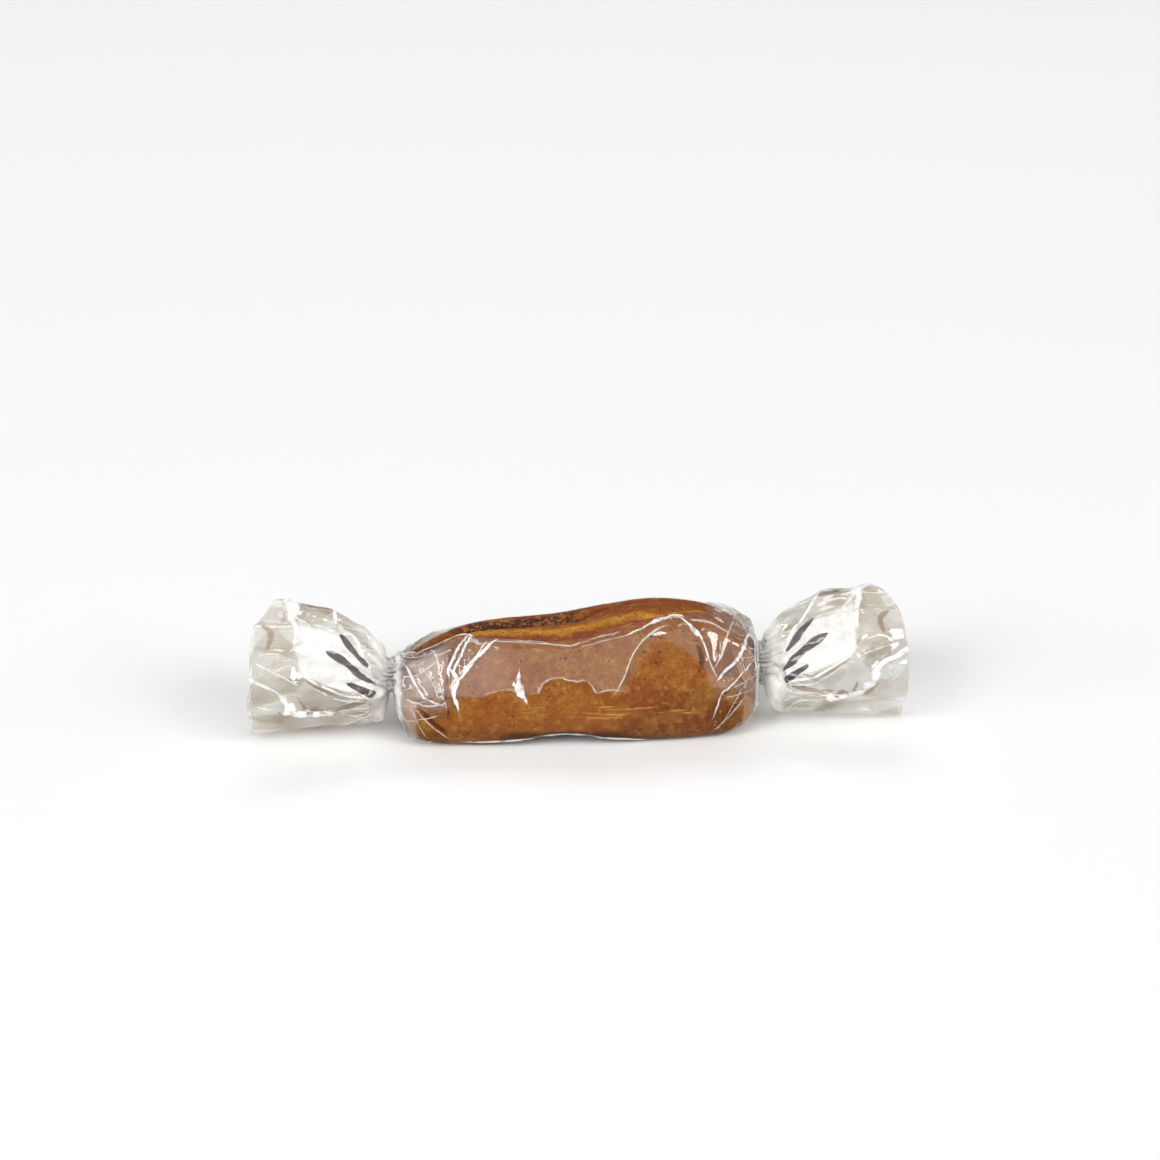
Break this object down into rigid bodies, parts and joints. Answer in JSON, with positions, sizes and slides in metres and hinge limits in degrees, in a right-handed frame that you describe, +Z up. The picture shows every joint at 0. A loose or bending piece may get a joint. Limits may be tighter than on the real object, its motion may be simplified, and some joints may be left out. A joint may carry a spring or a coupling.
{
  "type": "wrapped caramel candy",
  "caption": "Soft caramel rod rolled in a sheet of clear film, twisted shut at both ends into pleated tails.",
  "frame": {"origin": "on the surface that the sweet lies on, under the middle of its box", "axes": "+X along the sweet from its left tail to its right tail, +Y towards its back, +Z up"},
  "size_m": [0.0766, 0.0148, 0.0161],
  "materials": {
    "caramel": "soft caramel, satin, amber brown with dark vanilla specks",
    "clear_film": "thin clear cellophane, glossy and creased"
  },
  "bodies": {
    "root": {"caramel": "caramel", "wrapper": "clear_film"}
  },
  "joints": []
}
